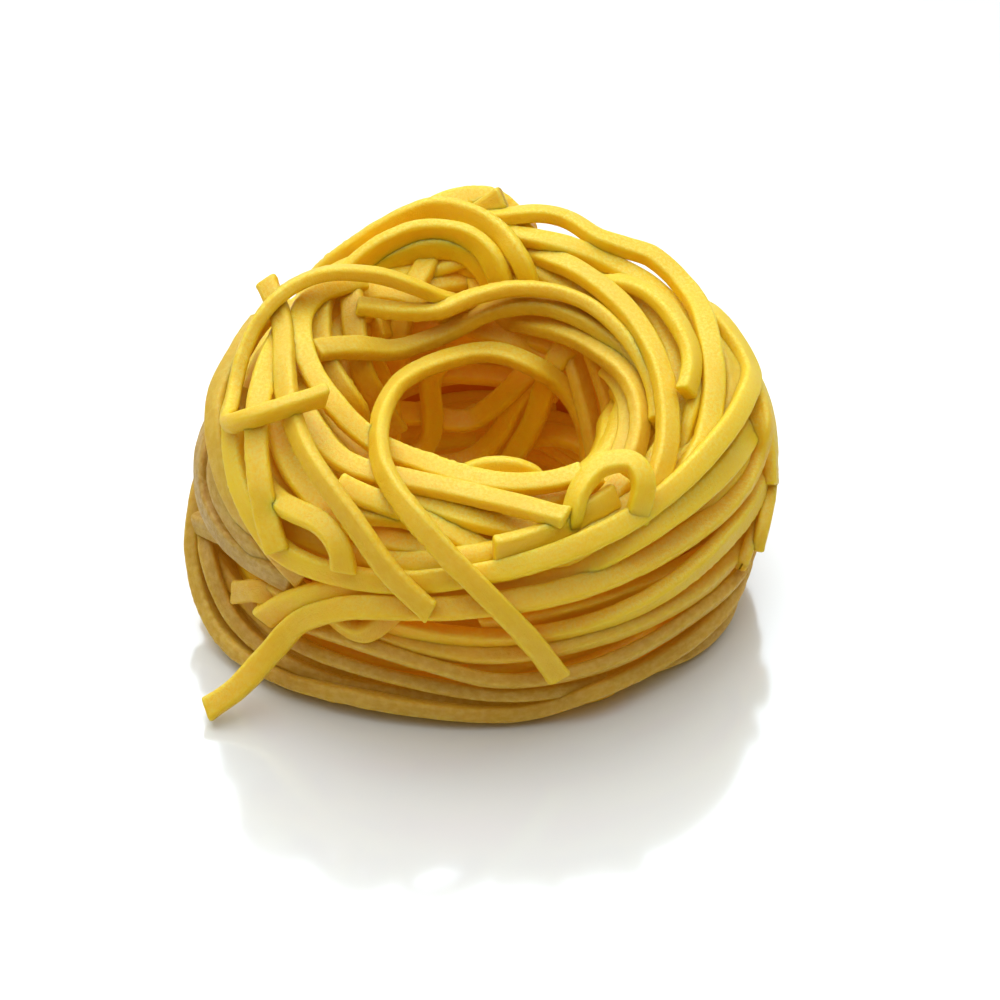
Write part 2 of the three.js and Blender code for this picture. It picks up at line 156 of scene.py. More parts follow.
OUTER_TURNS = [
    (6, None, 0.0,
     [(-168, 28.5, 25.7), (-150, 30.4, 22), (-136, 30.8, 19.3), (-118, 29.7, 19.1), (-90, 27.6, 20.7),
      (-58, 27.3, 23.5), (-26, 28, 25.8), (-4, 29.7, 25.9), (10, 31, 24.8), (28, 29.6, 26.8),
      (50, 29.4, 23.5), (90, 29, 22), (140, 29, 23), (172, 29, 24)]),
    (5, None, 0.0,
     [(-140, 31.8, 9), (-133, 31.2, 13), (-121, 30, 17), (-103, 28.6, 18.1), (-77, 27.9, 19.4),
      (-41, 28.7, 22.7), (-14, 30.2, 23.3), (6, 31.8, 22.8), (25, 31, 21), (50, 30.5, 19), (95, 30, 19),
      (145, 30.5, 19), (178, 31, 19)]),
    (7, (0, 5, -10, -20, -20, -20, -25), 0.1,
     [(-138, 41.4, 1.5), (-136, 38, 3.6), (-134, 34.2, 7), (-130, 31.8, 11.2), (-124, 31.1, 13.9),
      (-116, 30.3, 15.8), (-90, 28.2, 16.8), (-70, 27.9, 17.4), (-40, 29.2, 18.9), (-10, 30.9, 18.8),
      (8, 32.1, 19.6), (60, 31, 21), (120, 30, 20), (165, 31, 19)]),
    (5, None, 0.1,
     [(-127, 28.6, 13.6), (-108, 28.5, 13), (-85, 28, 12), (-56, 29.6, 13.5), (-28, 30.9, 15.7),
      (-6, 31.9, 15.6), (15, 32, 17), (60, 31, 16.5), (120, 30.5, 16.5), (175, 32, 15)]),
    (4, None, 0.4,
     [(-143, 29.3, 10.9), (-115, 29.1, 11.4), (-88, 28.3, 9.8), (-63, 29.1, 10.6), (-39, 30.2, 11.1),
      (-18, 31.2, 11.2), (-4, 31.6, 10.4), (15, 31.5, 12), (70, 31, 12.5), (130, 31, 12), (180, 32, 14)]),
    (5, None, 0.7,
     [(-140, 29.4, 8.4), (-119, 29.4, 9.9), (-102, 28.8, 8.5), (-86, 28.7, 6.5), (-63, 29.2, 6.7),
      (-39, 30.1, 7.9), (-19, 30.6, 6.8), (0, 31, 7.2), (20, 31, 8.4), (70, 31, 8.5), (125, 31, 8),
      (170, 32, 10)]),
    (4, None, 0.8,
     [(-82, 25.6, 1.2), (-70, 25.3, 1.2), (-58, 25.4, 1.2), (-45, 27.2, 1.2), (-33, 28.8, 1.2),
      (-21, 29.4, 1.6), (-12, 29.2, 3), (-2, 29, 4.4), (20, 29.5, 5), (70, 30, 4.5), (120, 30.5, 4.5),
      (160, 32, 6)]),
    (4, None, 0.8,
     [(-142, 28.4, 4.4), (-126, 29, 5.7), (-112, 28, 5.1), (-100, 27.2, 4.2), (-80, 27.4, 3.3),
      (-60, 27.6, 3.4)]),
    ((5, 5, 5, 5, 5, 4), None, 0.7,
     [(172, 30.6, 17.5), (183, 32.6, 11.6), (190, 33.5, 7.6), (200, 33.2, 3.2), (209, 32.4, 1.4),
      (223, 30.9, 1.1), (242, 28.9, 1.6), (261, 27.8, 1.3), (279, 27.8, 1.1), (295, 27.9, 1.9),
      (310, 28.4, 2.8), (324, 29.6, 4), (337, 30.2, 4.6), (350, 30.2, 5)]),
    (4, None, 0.8,
     [(-178, 31.5, 10), (-169, 31.8, 7), (-161, 31.6, 5), (-155, 31.2, 3.6), (-147, 30.4, 2.6),
      (-128, 28.7, 2.2), (-114, 27.4, 2.4), (-100, 26.7, 2.3), (-84, 26.2, 2.2), (-66, 26, 2.2)]),
    (3, None, 0.7,
     [(-172, 31, 14), (-162, 31, 10.6), (-158, 30.6, 7.9), (-153, 30.2, 5.6), (-147, 29.8, 4),
      (-135, 28.8, 3.7), (-120, 27.8, 4.2)]),
    (2, None, 0.1, [(170, 30.5, 12), (182, 31.6, 7), (194, 32, 3), (207, 31.2, 1.2), (228, 29.4, 1)]),
    (4, None, 0.0, [(20, 28, 1.4), (60, 28, 1.3), (100, 28, 1.3), (140, 29, 1.4), (175, 31, 3)]),
]

RIM_TURNS = [
    ((3, 6, 6, 5), (50, 52, 50, 30), 0.1,
     [(86, 25, 28), (79, 21.5, 30.5), (68, 18.8, 32), (54, 17.7, 32.5), (40, 17.7, 32), (9, 18.9, 30.5),
      (-17, 21.6, 28.9), (-36, 25, 26.8), (-43, 26.1, 24.9)]),
    ((3, 7, 7, 7), 62, 0.0,
     [(52, 19.6, 29.6), (44, 19.4, 30.9), (38, 20.2, 31.8), (28, 21.4, 32.1), (14, 22.6, 31.5),
      (0, 23.6, 30.5), (-15, 23.6, 29.6)]),
    ((4, 6, 6, 6, 3), (70, 60, 30, 25, 30), 0.0,
     [(104, 24.5, 31), (93, 23.7, 32.6), (82, 24, 33.4), (76, 24.4, 33.8), (68, 25, 33.5), (56, 23.9, 33),
      (49, 25.2, 32.2), (43, 26.6, 31.6), (31, 27.2, 30.1), (10, 26, 30), (-11, 26.4, 28.2),
      (-28, 27.3, 26.2), (-40, 26.1, 23)]),
    ((5, 5, 5, 5, 2), 55, 0.0,
     [(100, 25.8, 29.5), (75, 21.7, 32.2), (61, 21.2, 32.5), (48, 23.1, 30.8), (39, 24.3, 29.8),
      (31, 25, 28.7), (10, 25, 27.2), (-14, 24.4, 26.2), (-24, 24.4, 23)]),
    ((4, 7, 8, 8, 6, 2), (-10, -15, -20, -25, -20), 0.0,
     [(135, 30, 22), (131, 29.4, 25.5), (128, 28.3, 27.6), (124, 27.2, 29.4), (117, 26.4, 31.4),
      (109, 25.6, 33.2), (103, 25.2, 34), (95, 23.2, 34.3), (88, 20.9, 34.2), (83, 19, 34), (78, 17.1, 33.5),
      (73, 15.9, 32.4), (69, 15.4, 30), (66, 15.6, 27)]),
    ((2, 7, 7, 5, 2), (-20, -32, -35, -30, -20), 0.0,
     [(136, 24, 27), (128, 23.6, 30), (118, 23, 32), (109, 22.4, 33), (101, 21.2, 33.3), (93, 19.1, 33.2),
      (87, 17, 32.3), (83, 16, 30.4), (79, 15.8, 27)]),
    ((2, 5, 5, 3, 1), -35, 0.0,
     [(137, 22.8, 27.4), (128, 22, 29.4), (119, 21.2, 30.9), (110, 20.6, 31.7), (101, 19.6, 31.9),
      (94, 18.4, 31.3), (88, 17, 29.9), (84, 16.3, 27.6), (82, 16.4, 25)]),
    (4, 30, 0.0, [(108, 25, 33), (98, 24.8, 35), (87, 24.7, 35), (80, 23.6, 33)]),
    (4, 10, 0.2, [(104, 23.6, 30.5), (96, 23.6, 32.4), (84, 23.9, 36)]),
    (4, -30, 0.1, [(101, 21.5, 29.5), (90, 21.5, 31.6), (74, 21.5, 34.5)]),
    ((6, 6, 7, 6, 4), (50, 60, 74, 74, 60), 0.1,
     [(147, 17, 30.8), (135, 13.7, 29.8), (115, 12.2, 28.9), (92, 12.2, 30.2), (70, 13.1, 31.1),
      (42, 15.1, 31), (14, 17.3, 29.3), (-10, 20, 27.4), (-21, 21.2, 26.3)]),
    ((5, 5, 5, 5, 2), (42, 48, 62, 66, 60), 0.25,
     [(181, 18.8, 31.3), (167, 14.6, 29.2), (148, 12.5, 26.5), (130, 12, 25.4), (108, 11.9, 25.8),
      (84, 12.7, 27.8), (62, 13.8, 28.8), (31, 15.7, 28.3), (1, 18.6, 26.4), (-12, 19.4, 23)]),
    ((2, 4, 5, 5, 4), (60, 55, 52, 50, 45), 0.3,
     [(83, 16.6, 24), (74, 15, 25), (62, 14, 25.8), (50, 13.8, 26.4), (24, 14.8, 26.7), (-10, 17.8, 26.7),
      (-35, 20.8, 25.8), (-45, 22.1, 24.7)]),
]

LEFT_SIDE = [
    ((3, 6, 9, 9, 9), (78, 82, 84, 84, 80, 55, 50), 0.1,
     [(90, 13.2, 27.8), (112, 12.2, 30.5), (128, 13, 32.9), (141, 16.2, 34.5), (155, 21.1, 35),
      (167, 24.7, 33.2), (177, 26.8, 30.2), (187, 28.2, 27.2), (197, 29.4, 27.6), (204, 28.8, 30),
      (209, 25, 32), (211, 20.1, 32.5)]),
    (8, (0, 15, 35, 35, 20), 0.2,
     [(160, 26, 34.5), (168, 23.4, 33), (175, 22.4, 31.9), (190, 22.4, 31.5), (209, 24, 30.6),
      (231, 27.4, 29), (241, 29, 26.5), (252, 30.6, 21.4), (260, 31.3, 17.9)]),
    (7, 12, 0.1,
     [(154, 24.3, 30), (170, 22.7, 31.2), (190, 24.2, 32), (204, 27.1, 30.9), (215, 30, 27.2),
      (222, 31.4, 22), (225, 31.8, 19.8)]),
    (7, (-35, -20, 0), 0.1,
     [(-150, 28.3, 23.8), (-139, 29.4, 24.3), (-126, 29.8, 25), (-121, 30.4, 23.6), (-119, 31.1, 20.7)]),
    (5, None, 0.5,
     [(162, 26.3, 29.7), (175, 27.2, 29.8), (187, 29.9, 27.3), (199, 30.9, 23.4), (209, 30.5, 19.2),
      (213, 29.5, 16.1), (220, 28.5, 13)]),
    (5, None, 0.5,
     [(-174, 27.7, 27.2), (-162, 28.9, 26.3), (-149, 30.5, 23), (-144, 30.9, 21.3), (-138, 30.2, 18),
      (-133, 29, 15)]),
    (5, None, 1.0,
     [(178, 30, 22), (188, 31.8, 19.9), (194, 32.3, 16.8), (206, 31.7, 15), (225, 29.7, 14.4)]),
    (5, None, 0.9,
     [(-170, 29.6, 22.6), (-161, 31.3, 20.2), (-151, 31.1, 17.8), (-141, 29.5, 14.8), (-134, 28.6, 12.6)]),
    (4, None, 0.6, [(-174, 31.8, 7.5), (-158, 29.6, 5.4), (-139, 28.3, 4)]),
    (5, None, 0.9, [(-171, 32.8, 10.8), (-158, 30, 13.2)]),
    ((6, 5, 2), 10, 0.4, [(-151, 31.6, 8.6), (-142, 31.1, 11.7), (-131, 29.1, 12.1)]),
    (5, None, 0.2, [(-127, 29.3, 13.2), (-121, 30.2, 12.5), (-116, 30.1, 12.1), (-109, 27.9, 15.2)]),
]

LOW_SIDE = [
    ((1, 3, 9, 9, 9, 9), (30, 40, 48, 50, 55, 62, 35, 5, 0, 0), 0.15,
     [(33, 15.2, 8.5), (35, 15.2, 12.3), (35, 14.2, 15.8), (39, 13.4, 18.4), (44, 11.9, 21), (51, 10, 23.2),
      (62, 9.1, 24.2), (78, 8.9, 24.6), (95, 8.5, 24.8), (116, 7.8, 25.1), (143, 8, 25.4), (168, 9, 25.8),
      (195, 10.9, 26.4), (215, 13.8, 27), (229, 17.3, 27.6), (243, 22.6, 28.3), (255, 27, 27),
      (264, 29.2, 23.6), (272, 30.4, 19.4), (280, 31.1, 13.8), (286, 31.1, 8)]),
    ((4, 7, 7, 7, 7, 7), (10, 10, 0, -15, -30, -40, -45), 0.0,
     [(126, 23.9, 27.5), (135, 22.8, 29), (148, 22.1, 30.8), (161, 21.5, 31.6), (173, 20.6, 31.6),
      (190, 19.3, 30.6), (206, 18.3, 29.6), (229, 17.7, 28), (250, 16.9, 26.8), (264, 17.7, 26.5),
      (278, 19.3, 26.7), (291, 20.8, 27.2), (301, 21.7, 27.8)]),
    (6, (-10, -30, -40), 0.1,
     [(-174, 21, 28.3), (-152, 21.4, 28), (-133, 21.9, 27.3), (-110, 20.4, 26.9), (-95, 20.7, 26.6),
      (-80, 23.2, 26.6), (-69, 26.3, 26.2)]),
    ((3, 7, 7, 6), (-30, -60, -50, -20), 0.0,
     [(-71, 25.8, 22), (-67, 25, 24.6), (-62, 23.2, 27), (-54, 22.4, 28.4), (-47, 24.2, 28.6),
      (-47, 26.1, 27.1), (-50, 26.5, 22.5)]),
    (4, -30, 0.0, [(-46, 22.6, 25.4), (-60, 24.5, 24.1), (-72, 25.4, 22)]),
    (4, -30, 0.0, [(-41, 25.6, 24.5), (-60, 26, 23.9), (-81, 25.7, 21)]),
    (5, 25, 0.1, [(-87, 26, 22.9), (-74, 25, 23.4), (-62, 23.6, 23.8), (-50, 23, 24)]),
    (5, 20, 0.0,
     [(-100, 17.4, 25.4), (-94, 17.3, 26.7), (-87, 17.3, 27.4), (-79, 17.5, 27.2), (-72, 17.8, 26),
      (-69, 18.2, 24)]),
    (4, -30, 0.0, [(-116, 20.8, 25.5), (-95, 22.2, 24.4), (-76, 23.7, 22.8), (-69, 24.9, 21.4)]),
    (4, -30, 0.0, [(-126, 26.3, 24.9), (-110, 23.9, 24.6), (-101, 23.5, 23.4), (-83, 24.8, 20.1)]),
    (3, -30, 0.0, [(-121, 26.3, 22.4), (-103, 24.9, 21.5), (-82, 24.9, 18.8)]),
    (5, -20, 0.0, [(-130, 24.7, 26.5), (-113, 22.5, 24.5)]),
    (4, -20, 0.0, [(-161, 24.1, 28.3), (-144, 26, 26), (-130, 26.6, 24.3), (-121, 25.6, 22.9)]),
    (3, -20, 0.0, [(-160, 21.6, 26.8), (-137, 24, 25.4), (-129, 24.7, 24.3)]),
]

RIGHT_SIDE = [
    ((2, 5, 6, 6), None, 0.1, [(13, 30.6, 24.4), (7, 32, 22.6), (2, 32.8, 19), (-3, 33.1, 13.5)]),
    (5, None, 0.2, [(0, 32.8, 18.7), (-5, 32.8, 13.5), (-12, 32, 7.9)]),
    (5, None, 0.3, [(-7, 31.7, 10.2), (-16, 30.7, 6.9)]),
    (3, None, 0.3, [(25, 27.8, 27.2), (9, 28.5, 26.3), (-7, 28.5, 25.2), (-16, 27.5, 24.5)]),
    (3, None, 0.1, [(22, 27.6, 26.5), (-1, 27.2, 25.5), (-21, 26.3, 23.6)]),
    (3, None, 0.1,
     [(-1, 31.8, 13.2), (-17, 29.4, 11.5), (-32, 28.5, 13), (-50, 27.8, 14), (-67, 26.9, 13.8),
      (-80, 26.4, 13.2), (-90, 26.2, 12.8)]),
]

HOLLOW_LINING = [
    (3, 20, 0.1,
     [(102, 23.2, 31.3), (110, 18.6, 31), (119, 16.6, 29.1), (125, 15.7, 26.7), (129, 15.2, 23.6),
      (131, 15, 19)]),
    (2, 55, 0.0,
     [(108, 25.5, 28.5), (102, 20.3, 29.5), (91, 18.7, 29.3), (80, 18.2, 28.8), (68, 19, 27.5),
      (58, 20.4, 26)]),
    (3, 30, 0.0,
     [(146, 20.8, 30.1), (128, 17, 29.8), (109, 14.4, 26.9), (90, 14.3, 23.9), (72, 14.7, 22.6),
      (55, 15.5, 21)]),
    (3, 30, 0.0,
     [(140, 16, 27), (126, 15.9, 24.9), (100, 15.1, 23), (73, 15.2, 22.8), (54, 15.5, 22.3),
      (38, 15.1, 20.3), (22, 15.5, 16)]),
    (4, 20, 0.2,
     [(134, 21.5, 29.5), (146, 17.8, 30.8), (158, 15.4, 28.3), (163, 14.1, 25.2), (154, 13.2, 19.9),
      (138, 13.4, 13.4)]),
    (4, 20, 0.2,
     [(141, 22.6, 29.6), (160, 19.6, 30.7), (178, 17.4, 28.8), (188, 14.8, 25.3), (176, 13.6, 20),
      (157, 13.2, 15.8)]),
    (5, -30, 0.0,
     [(105, 13.6, 21.6), (112, 13.2, 20.5), (117, 12.9, 19.1), (118, 12.8, 17.2), (117, 12.8, 14.8),
      (117, 12.8, 12.4), (119, 12.9, 10.1), (126, 13.1, 8.5), (135, 13.6, 7.8)]),
    (3, 0, 0.0,
     [(150, 17, 27), (146, 14.4, 22), (144, 13.4, 18), (146, 13, 14), (154, 13.4, 10), (165, 14.5, 7)]),
    (2, 20, 0.0,
     [(140, 14, 16), (128, 13.4, 14.6), (118, 13, 13.9), (109, 12.8, 12.6), (96, 12.8, 12.2),
      (86, 12.8, 13.9), (78, 12.8, 15.9), (70, 13, 18.3), (62, 14, 20.5), (54, 15.6, 22)]),
    (2, 20, 0.0,
     [(134, 13.6, 9), (121, 12.8, 7), (108, 12.6, 6.2), (98, 12.5, 6.6), (89, 12.4, 8.1), (80, 12.3, 10.9),
      (74, 12.3, 14), (68, 12.6, 16.6), (63, 13.8, 19), (58, 15.4, 21)]),
    (3, 15, 0.0,
     [(92, 13, 1.8), (81, 12.4, 3.8), (74, 12.2, 7.1), (66, 12, 10.6), (59, 12.2, 14.6), (56, 12.8, 18),
      (54, 14, 20.8), (52, 15.8, 23)]),
    (1, 30, 0.0,
     [(122, 14.6, 19), (112, 14.4, 18.6), (96, 14.2, 17.8), (81, 14.2, 17.4), (68, 14.2, 17.2),
      (52, 14.6, 17)]),
    (1, 30, 0.0,
     [(88, 14.2, 6.5), (78, 14.2, 8), (67, 14.2, 9.5), (54, 14.2, 11), (40, 14.2, 12), (24, 14.6, 12)]),
    (2, 0, 0.0, [(97, 14.6, 12.6), (92, 12.7, 11.3)]),
    ((1, 4, 6, 6), 42, 0.3,
     [(62, 17, 24.5), (55, 15.6, 24.6), (46, 14.9, 23), (41, 14.7, 20.9), (36, 14.5, 18.6), (29, 14.2, 16.1),
      (22, 14, 13.7), (15, 14, 11.5), (8, 14, 8)]),
    (3, 30, 0.35,
     [(38, 15.5, 28), (31, 14.9, 25.8), (26, 15.3, 23), (20, 15.6, 20.5), (14, 15.5, 18), (5, 15, 15),
      (-4, 14.8, 11)]),
    (3, -20, 0.3,
     [(21, 15.2, 25), (-11, 17, 25), (-27, 18.2, 24.8), (-42, 19.8, 24.3), (-57, 22.4, 23.6),
      (-65, 24, 23)]),
]

# -------------------- curves


def unit(vectors):
    """Each row scaled to length 1."""
    length = np.linalg.norm(vectors, axis=-1, keepdims=True)
    return vectors / np.maximum(length, 1e-9)


def spline(knots, per_span):
    """A centripetal Catmull-Rom curve through the rows of knots."""
    knots = np.asarray(knots, float)
    padded = np.vstack([2 * knots[0] - knots[1], knots, 2 * knots[-1] - knots[-2]])
    steps = np.linspace(0, 1, per_span, endpoint=False)[:, None]
    spans = []
    for p0, p1, p2, p3 in zip(padded, padded[1:], padded[2:], padded[3:]):
        d0, d1, d2 = (max(np.linalg.norm(b - a), 1e-6) ** 0.5 for a, b in ((p0, p1), (p1, p2), (p2, p3)))
        m1 = ((p1 - p0) / d0 - (p2 - p0) / (d0 + d1) + (p2 - p1) / d1) * d1
        m2 = ((p2 - p1) / d1 - (p3 - p1) / (d1 + d2) + (p3 - p2) / d2) * d1
        spans.append(p1 + m1 * steps + (3 * (p2 - p1) - 2 * m1 - m2) * steps ** 2
                     + (2 * (p1 - p2) + m1 + m2) * steps ** 3)
    return np.vstack(spans + [knots[-1:]])


def points_at(points, distances):
    """Points on a line at these distances along it."""
    lengths = np.r_[0, np.cumsum(np.linalg.norm(np.diff(points, axis=0), axis=1))]
    return np.stack([np.interp(distances, lengths, points[:, axis]) for axis in range(3)], axis=1)


def resample(points, step):
    """The same line with its points evenly spaced, close to step apart."""
    length = np.linalg.norm(np.diff(points, axis=0), axis=1).sum()
    return points_at(points, np.linspace(0, length, max(3, int(round(length / step))) + 1))


def from_polar(azimuth, radius, height):
    """Points from azimuth in radians, radius and height."""
    return np.stack([radius * np.cos(azimuth), radius * np.sin(azimuth), height], axis=-1)


def station_route(stations):
    """The middle line of a noodle that is given by its stations."""
    knots = np.array(stations, float)
    knots[:, 0] *= math.radians(1) * TURN_RADIUS
    curve = spline(knots, 16)
    return from_polar(curve[:, 0] / TURN_RADIUS, curve[:, 1], curve[:, 2])


def signed_power(value, exponent):
    """A power that keeps the sign of the value."""
    return np.sign(value) * np.abs(value) ** exponent


def ring_route(azimuth, section_angle, depth):
    """Points of the coil at these azimuths and angles round its section, depth under its outline.

    Section angle 0 is the outside, 90 the top, 180 the wall of the hollow and 270 the underside.
    """
    outer = RING_OUTER + RING_OVAL * np.cos(2 * azimuth)
    top = RING_TOP + RING_RISE * np.sin(azimuth) + RING_LEAN * np.cos(azimuth)
    middle = (outer + RING_INNER) / 2
    half_width = (outer - RING_INNER) / 2 - depth
    half_height = top / 2 - depth
    power = 2 / RING_SQUARENESS
    radius = middle + half_width * signed_power(np.cos(section_angle), power)
    height = top / 2 + half_height * signed_power(np.sin(section_angle), power)
    return from_polar(azimuth, radius, height)


def wander(rng, positions, wavelength):
    """Smooth random numbers, mostly from -1 to 1, along a line."""
    count = int((positions[-1] - positions[0]) / wavelength) + 5
    lattice = rng.uniform(-1, 1, count)
    place = (positions - positions[0]) / wavelength + 1
    index = np.floor(place).astype(int)
    share = place - index
    share = share * share * (3 - 2 * share)
    return lattice[index] * (1 - share) + lattice[index + 1] * share


# -------------------- noodles


class Noodle:
    """One strand of pasta: its middle line in millimetres, and how it lies and looks."""

    def __init__(self, route, level, tilt=None, dull_and_shade=0.0, shows=True):
        self.points = resample(route, RELAX_STEP)
        self.level = self.spread(level, len(self.points))
        self.tilt = tilt
        self.dull_and_shade = dull_and_shade
        self.shows = shows
        # 1 or -1, so that tilt turns the flat side outwards whichever way the noodle runs.
        azimuth = np.unwrap(np.arctan2(route[:, 1], route[:, 0]))
        self.outward = -1 if azimuth[-1] > azimuth[0] else 1

    def spread(self, values, count):
        """A value, or a few evenly spaced along the noodle, as one for each of count points."""
        values = np.atleast_1d(values).astype(float)
        return np.interp(np.linspace(0, 1, count), np.linspace(0, 1, len(values)), values)

    def frames(self, points):
        """Tangent, side and normal at each point. The normal is square to the flat side."""
        tangent = unit(np.gradient(points, axis=0))
        if self.tilt is None:
            away = unit(points * [1, 1, 0]) * TURN_RADIUS
            away[:, 2] = TURN_HEIGHT
            normal = points - away
        else:
            normal = VIEWER - points
        normal = unit(normal - tangent * np.sum(normal * tangent, axis=1, keepdims=True))
        for _ in range(3):
            blended = normal.copy()
            blended[1:-1] += normal[:-2] + normal[2:]
            normal = unit(blended - tangent * np.sum(blended * tangent, axis=1, keepdims=True))
        side = np.cross(normal, tangent)
        if self.tilt is None:
            return tangent, side, normal
        angle = self.outward * np.radians(self.spread(self.tilt, len(points)))[:, None]
        turned = normal * np.cos(angle) + side * np.sin(angle)
        return tangent, np.cross(turned, tangent), turned


def traced_noodles(table):
    """The noodles of one table."""
    return [Noodle(station_route(stations), level, tilt, dull_and_shade) for level, tilt, dull_and_shade, stations in table]


def wound_turns(rng, count, depth, level):
    """Hidden turns of noodle wound round the coil, spread evenly round its section."""
    turns = []
    for index in range(count):
        start = rng.uniform(0, 2 * math.pi)
        sweep = math.radians(rng.uniform(230, 400))
        azimuth = np.linspace(start, start + sweep, TURN_POINTS)
        arc = (azimuth - start) * TURN_RADIUS
        angle = 2 * math.pi * (index + rng.uniform(-0.3, 0.3)) / count
        angle = angle + 0.35 * wander(rng, arc, 45) + 0.12 * wander(rng, arc, 14)
        sunk = depth + 0.7 * wander(rng, arc, 20)
        sunk = sunk + HIGH_SIDE_DEPTH * np.clip(np.sin(azimuth), 0, 1)
        turns.append(Noodle(ring_route(azimuth, angle, sunk), level, shows=False))
    return turns


def back_turns(rng, count):
    """Turns on the far side of the coil, from its foot up to the rim."""
    turns = []
    for index in range(count):
        azimuth = np.radians(np.linspace(rng.uniform(-20, 15), rng.uniform(150, 185), BACK_POINTS))
        arc = (azimuth - azimuth[0]) * TURN_RADIUS
        angle = math.radians(-70 + 108 * (index + rng.uniform(-0.3, 0.3)) / count)
        angle = angle + 0.2 * wander(rng, arc, 30) + 0.08 * wander(rng, arc, 12)
        from_middle = np.abs(np.linspace(-1, 1, BACK_POINTS))
        sunk = BACK_DEPTH + 0.5 * wander(rng, arc, 18)
        sunk = sunk + BACK_END_DEPTH * np.clip((from_middle - 0.6) / 0.4, 0, 1)
        turns.append(Noodle(ring_route(azimuth, angle, sunk), 3, shows=False))
    return turns


def underside_turns(rng):
    """Flat turns that the nest rests on, under the ring of the coil."""
    turns = []
    for radius in UNDERSIDE_RADII:
        start = rng.uniform(0, 2 * math.pi)
        azimuth = np.linspace(start, start + math.radians(rng.uniform(260, 345)), TURN_POINTS)
        arc = (azimuth - start) * TURN_RADIUS
        height = np.full(TURN_POINTS, UNDERSIDE_HEIGHT)
        route = from_polar(azimuth, radius + 0.7 * wander(rng, arc, 25), height)
        turns.append(Noodle(route, 1, shows=False))
    return turns


def floor_strands(rng):
    """Noodles that cross the bottom of the hollow."""
    strands = []
    for index in range(FLOOR_STRANDS):
        heading = math.pi * (index / FLOOR_STRANDS + rng.uniform(-0.05, 0.05))
        offset = rng.uniform(-8, 8)
        along = np.linspace(-FLOOR_REACH, FLOOR_REACH, FLOOR_POINTS)
        across = offset + 2 * wander(rng, along, 12)
        x = along * math.cos(heading) - across * math.sin(heading)
        y = along * math.sin(heading) + across * math.cos(heading)
        z = 0.9 + 0.2 * index + 0.004 * along ** 2
        strands.append(Noodle(np.stack([x, y, z], axis=1), 1, shows=False))
    return strands


# -------------------- settling


def neighbour_pairs(points, owner, reach):
    """Index pairs of points of different noodles that are closer than reach."""
    tree = KDTree(len(points))
    for index, point in enumerate(points):
        tree.insert(Vector(point), index)
    tree.balance()
    first, second = [], []
    for index, point in enumerate(points):
        for _, other, _ in tree.find_range(Vector(point), reach):
            if other > index and owner[other] != owner[index]:
                first.append(index)
                second.append(other)
    return np.array(first), np.array(second)


def half_extent(direction, side, normal, tangent):
    """Reach of a noodle's section, as a soft box, in a direction."""
    return np.sqrt((np.sum(direction * side, axis=1) * CLING * NOODLE_WIDTH / 2) ** 2
                   + (np.sum(direction * normal, axis=1) * CLING * NOODLE_THICKNESS / 2) ** 2
                   + (np.sum(direction * tangent, axis=1) * RELAX_STEP / 2) ** 2)


def smoothed(shift):
    """The shifts of one noodle's points, evened out along it."""
    smooth = shift.copy()
    smooth[1:-1] = 0.25 * shift[:-2] + 0.5 * shift[1:-1] + 0.25 * shift[2:]
    smooth[0] = 0.7 * shift[0] + 0.3 * shift[1]
    smooth[-1] = 0.7 * shift[-1] + 0.3 * shift[-2]
    return smooth


def settle(noodles, rounds):
    """Moves noodles apart where they run through each other.

    Those that show move only along the view, so that their layout stays, and the one with the higher
    level moves towards the viewer. The hidden ones give way more, straight away from what they touch.
    Returns the worst overlap that is left and how many pairs of points still overlap noticeably.
    """
    owner = np.concatenate([np.full(len(noodle.points), index) for index, noodle in enumerate(noodles)])
    level = np.concatenate([noodle.level for noodle in noodles])
    shows = np.array([noodle.shows for noodle in noodles])[owner]
    rest = np.vstack([noodle.points for noodle in noodles])
    to_viewer = unit(VIEWER - rest)
    yielding = np.where(shows, TRACED_YIELD, 1.0)
    shift = np.zeros_like(rest)
    for round_index in range(rounds):
        points = rest + shift
        if round_index % PAIRING_ROUNDS == 0:
            first, second = neighbour_pairs(points, owner, PAIRING_REACH)
        frames = (noodle.frames(points[owner == index]) for index, noodle in enumerate(noodles))
        tangent, side, normal = (np.vstack(parts) for parts in zip(*frames))
        gap = points[second] - points[first]
        distance = np.linalg.norm(gap, axis=1)
        direction = unit(gap)
        needed = (half_extent(direction, side[first], normal[first], tangent[first])
                  + half_extent(direction, side[second], normal[second], tangent[second]))
        overlap = np.maximum(needed - distance, 0)
        order = np.sign(level[second] - level[first])
        view_side = np.sign(np.sum(direction * to_viewer[first], axis=1))
        order = np.where(order == 0, view_side, order)
        both_show = shows[first] & shows[second]
        push_view = to_viewer[first] * order[:, None]
        push = np.where(both_show[:, None], push_view, direction) * overlap[:, None]
        share = yielding[second] / (yielding[first] + yielding[second])
        moves = np.zeros_like(rest)
        weight = np.full(len(rest), 1e-6)
        np.add.at(moves, second, push * share[:, None])
        np.add.at(moves, first, -push * (1 - share)[:, None])
        np.add.at(weight, second, overlap > 0)
        np.add.at(weight, first, overlap > 0)
        moves /= np.sqrt(np.maximum(weight, 1))[:, None]
        along_view = np.sum(moves * to_viewer, axis=1, keepdims=True) * to_viewer
        moves = np.where(shows[:, None], along_view, moves)
        shift += MOVE_SHARE * moves
        for index in range(len(noodles)):
            own = owner == index
            shift[own] = smoothed(shift[own])
        lowest = 0.5 * NOODLE_THICKNESS + TABLE_GAP
        shift[:, 2] = np.maximum(shift[:, 2], lowest - rest[:, 2])
    for index, noodle in enumerate(noodles):
        noodle.points = (rest + shift)[owner == index]
    return float(overlap.max()), float((overlap > COUNTED_OVERLAP).sum())


# -------------------- meshes


